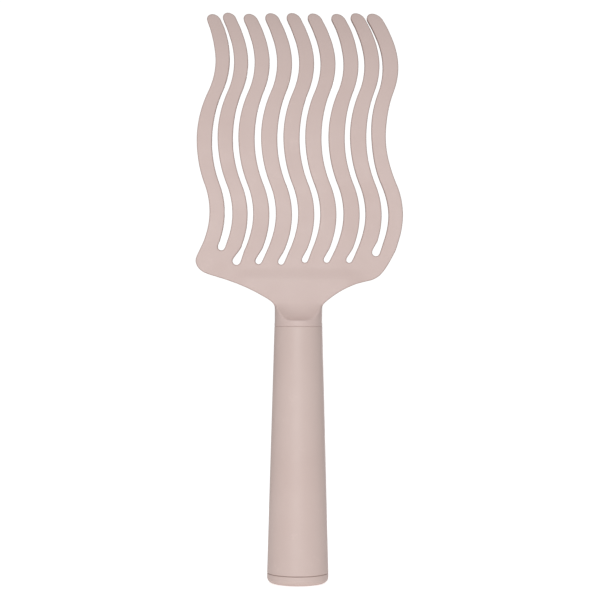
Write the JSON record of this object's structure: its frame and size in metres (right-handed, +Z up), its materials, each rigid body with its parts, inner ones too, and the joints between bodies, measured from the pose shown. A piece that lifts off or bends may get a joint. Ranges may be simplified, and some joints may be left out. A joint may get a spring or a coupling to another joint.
{
  "type": "vented hair brush",
  "caption": "Flexible vented detangling brush: a row of wavy sprung arms with ball-tipped pins on a tapered round handle with a press-in end cap.",
  "frame": {"origin": "centre of the flat underside of the end cap, on the handle's axis", "axes": "+Z up the handle towards the head; the back of the head faces -Y and the pins point to +Y; +X runs across the head to the right as seen from behind"},
  "size_m": [0.0901, 0.0516, 0.252],
  "materials": {
    "handle_plastic": "fine moulded satin, dusty pink",
    "head_plastic": "fine moulded satin, dusty pink",
    "pin_nylon": "smooth nylon, dusty pink",
    "zinc_plated_steel": "zinc plated"
  },
  "bodies": {
    "handle": {"end_cap": "handle_plastic", "handle_shell": "handle_plastic", "head_shoulder": "head_plastic", "retaining_screw": "zinc_plated_steel", "washer": "zinc_plated_steel"},
    "flex_arm_1": {"arm_1": "head_plastic", "pins_1": "pin_nylon"},
    "flex_arm_2": {"arm_2": "head_plastic", "pins_2": "pin_nylon"},
    "flex_arm_3": {"arm_3": "head_plastic", "pins_3": "pin_nylon"},
    "flex_arm_4": {"arm_4": "head_plastic", "pins_4": "pin_nylon"},
    "flex_arm_5": {"arm_5": "head_plastic", "pins_5": "pin_nylon"},
    "flex_arm_6": {"arm_6": "head_plastic", "pins_6": "pin_nylon"},
    "flex_arm_7": {"arm_7": "head_plastic", "pins_7": "pin_nylon"},
    "flex_arm_8": {"arm_8": "head_plastic", "pins_8": "pin_nylon"},
    "flex_arm_9": {"arm_9": "head_plastic", "pins_9": "pin_nylon"}
  },
  "joints": [
    {"name": "arm_1_flex", "type": "hinge", "parent": "handle", "child": "flex_arm_1", "pos_m": [-0.0388, 0, 0.1446], "axis": [1, 0, 0], "range_deg": [-10, 10], "stiffness_Nm_per_rad": 0.63},
    {"name": "arm_2_flex", "type": "hinge", "parent": "handle", "child": "flex_arm_2", "pos_m": [-0.0291, 0, 0.1446], "axis": [1, 0, 0], "range_deg": [-10, 10], "stiffness_Nm_per_rad": 0.63},
    {"name": "arm_3_flex", "type": "hinge", "parent": "handle", "child": "flex_arm_3", "pos_m": [-0.0194, 0, 0.1446], "axis": [1, 0, 0], "range_deg": [-10, 10], "stiffness_Nm_per_rad": 0.63},
    {"name": "arm_4_flex", "type": "hinge", "parent": "handle", "child": "flex_arm_4", "pos_m": [-0.0097, 0, 0.1446], "axis": [1, 0, 0], "range_deg": [-10, 10], "stiffness_Nm_per_rad": 0.63},
    {"name": "arm_5_flex", "type": "hinge", "parent": "handle", "child": "flex_arm_5", "pos_m": [0, 0, 0.1446], "axis": [1, 0, 0], "range_deg": [-10, 10], "stiffness_Nm_per_rad": 0.63},
    {"name": "arm_6_flex", "type": "hinge", "parent": "handle", "child": "flex_arm_6", "pos_m": [0.0097, 0, 0.1446], "axis": [1, 0, 0], "range_deg": [-10, 10], "stiffness_Nm_per_rad": 0.63},
    {"name": "arm_7_flex", "type": "hinge", "parent": "handle", "child": "flex_arm_7", "pos_m": [0.0194, 0, 0.1446], "axis": [1, 0, 0], "range_deg": [-10, 10], "stiffness_Nm_per_rad": 0.63},
    {"name": "arm_8_flex", "type": "hinge", "parent": "handle", "child": "flex_arm_8", "pos_m": [0.0291, 0, 0.1446], "axis": [1, 0, 0], "range_deg": [-10, 10], "stiffness_Nm_per_rad": 0.63},
    {"name": "arm_9_flex", "type": "hinge", "parent": "handle", "child": "flex_arm_9", "pos_m": [0.0388, 0, 0.1446], "axis": [1, 0, 0], "range_deg": [-10, 10], "stiffness_Nm_per_rad": 0.63}
  ]
}
